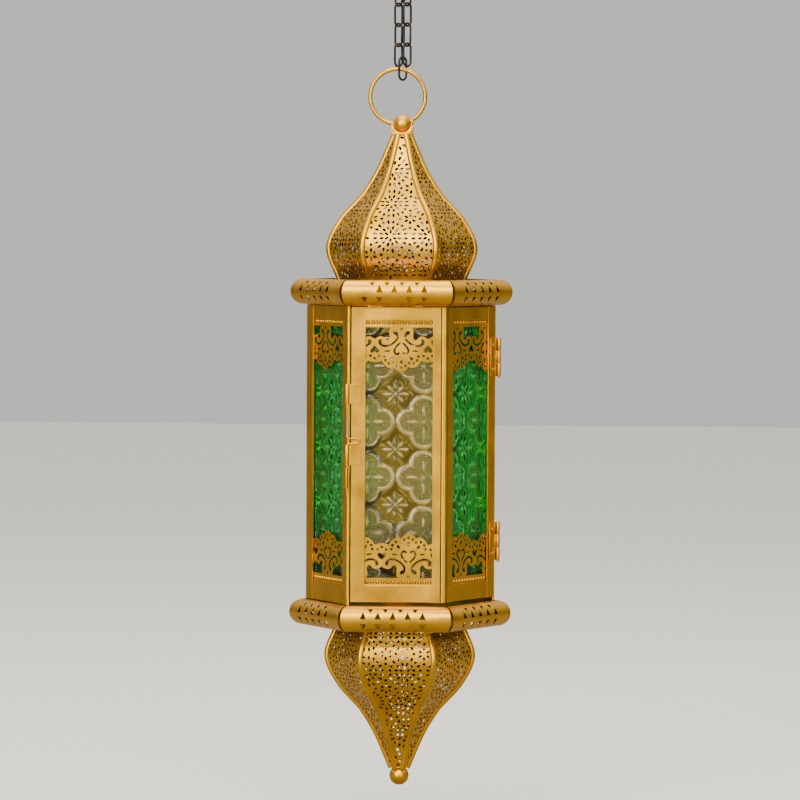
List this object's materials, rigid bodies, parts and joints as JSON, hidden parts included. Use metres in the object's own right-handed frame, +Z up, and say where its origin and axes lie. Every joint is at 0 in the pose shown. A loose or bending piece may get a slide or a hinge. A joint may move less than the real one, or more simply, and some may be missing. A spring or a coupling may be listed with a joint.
{
  "type": "moroccan pendant lantern",
  "caption": "Six-sided hanging candle lantern: pierced onion domes above and below, rolled rims, glazed panels with metal lace, a corner door with a sliding bolt, on a doubled chain.",
  "frame": {"origin": "centre of the ceiling plate's top face, straight above the lantern's axis", "axes": "+Z up, -Y towards the viewer from the front panel, +X to the viewer's right, through the corner that carries the door's hinges"},
  "size_m": [0.149, 0.1302, 0.5756],
  "materials": {
    "gold_paint": "satin metallic gold paint, slightly speckled",
    "black_steel": "satin black steel wire, browned where links rub",
    "clear_glass": "pressed pattern glass, clear with a faint warm tint",
    "green_glass": "pressed pattern glass, emerald green"
  },
  "bodies": {
    "hanger": {"ceiling_plate": "black_steel", "ceiling_hook": "black_steel"},
    "chain_1": {"chain_link_left_1": "black_steel", "chain_link_right_1": "black_steel"},
    "chain_2": {"chain_link_left_2": "black_steel", "chain_link_right_2": "black_steel"},
    "chain_3": {"chain_link_left_3": "black_steel", "chain_link_right_3": "black_steel"},
    "chain_4": {"chain_link_left_4": "black_steel", "chain_link_right_4": "black_steel"},
    "chain_5": {"chain_link_left_5": "black_steel", "chain_link_right_5": "black_steel", "chain_ring_link": "black_steel"},
    "ring": {"hanging_ring": "gold_paint"},
    "lantern": {"ring_yoke": "gold_paint", "top_ball": "gold_paint", "upper_dome": "gold_paint", "top_plate": "gold_paint", "right_back_frame": "gold_paint", "right_back_glass": "green_glass", "right_back_lace_top": "gold_paint", "right_back_lace_bottom": "gold_paint", "back_frame": "gold_paint", "back_glass": "clear_glass", "back_lace_top": "gold_paint", "back_lace_bottom": "gold_paint", "left_back_frame": "gold_paint", "left_back_glass": "green_glass", "left_back_lace_top": "gold_paint", "left_back_lace_bottom": "gold_paint", "left_front_frame": "gold_paint", "left_front_glass": "green_glass", "left_front_lace_top": "gold_paint", "left_front_lace_bottom": "gold_paint", "latch_post": "gold_paint", "bolt_keeper": "gold_paint", "lower_hinge_fixed_leaf": "gold_paint", "lower_hinge_pin": "gold_paint", "upper_hinge_fixed_leaf": "gold_paint", "upper_hinge_pin": "gold_paint", "bottom_plate": "gold_paint", "candle_cup": "gold_paint", "lower_dome": "gold_paint", "finial_ball": "gold_paint"},
    "door": {"front_frame": "gold_paint", "front_glass": "clear_glass", "front_lace_top": "gold_paint", "front_lace_bottom": "gold_paint", "right_front_frame": "gold_paint", "right_front_glass": "green_glass", "right_front_lace_top": "gold_paint", "right_front_lace_bottom": "gold_paint", "door_corner_post": "gold_paint", "lower_hinge_door_leaf": "gold_paint", "upper_hinge_door_leaf": "gold_paint", "upper_bolt_sleeve": "gold_paint", "lower_bolt_sleeve": "gold_paint"},
    "bolt": {"latch_bolt": "gold_paint"}
  },
  "joints": [
    {"name": "chain_1_swing", "type": "hinge", "parent": "hanger", "child": "chain_1", "pos_m": [0, 0, -0.0283], "axis": [0.7071, -0.7071, 0], "range_deg": [-30, 30]},
    {"name": "chain_2_swing", "type": "hinge", "parent": "chain_1", "child": "chain_2", "pos_m": [0, 0, -0.03915], "axis": [-0.7071, 0.7071, 0], "range_deg": [-30, 30]},
    {"name": "chain_3_swing", "type": "hinge", "parent": "chain_2", "child": "chain_3", "pos_m": [0, 0, -0.05435], "axis": [0.7071, -0.7071, 0], "range_deg": [-30, 30]},
    {"name": "chain_4_swing", "type": "hinge", "parent": "chain_3", "child": "chain_4", "pos_m": [0, 0, -0.06595], "axis": [-0.7071, 0.7071, 0], "range_deg": [-30, 30]},
    {"name": "chain_5_swing", "type": "hinge", "parent": "chain_4", "child": "chain_5", "pos_m": [0, 0, -0.08115], "axis": [0.7071, -0.7071, 0], "range_deg": [-30, 30]},
    {"name": "ring_swing", "type": "hinge", "parent": "chain_5", "child": "ring", "pos_m": [0, 0, -0.09665], "axis": [0.9848, 0, -0.1736], "range_deg": [-40, 40]},
    {"name": "lantern_swing", "type": "hinge", "parent": "ring", "child": "lantern", "pos_m": [0, 0, -0.13279], "axis": [-0.9848, 0, -0.1736], "range_deg": [-60, 60]},
    {"name": "door_hinge", "type": "hinge", "parent": "lantern", "child": "door", "pos_m": [0.06538, 0, -0.3], "axis": [0, 0, 1], "range_deg": [0, 110]},
    {"name": "bolt_slide", "type": "slide", "parent": "door", "child": "bolt", "axis": [0, 0, 1], "range_m": [0, 0.0205]}
  ]
}
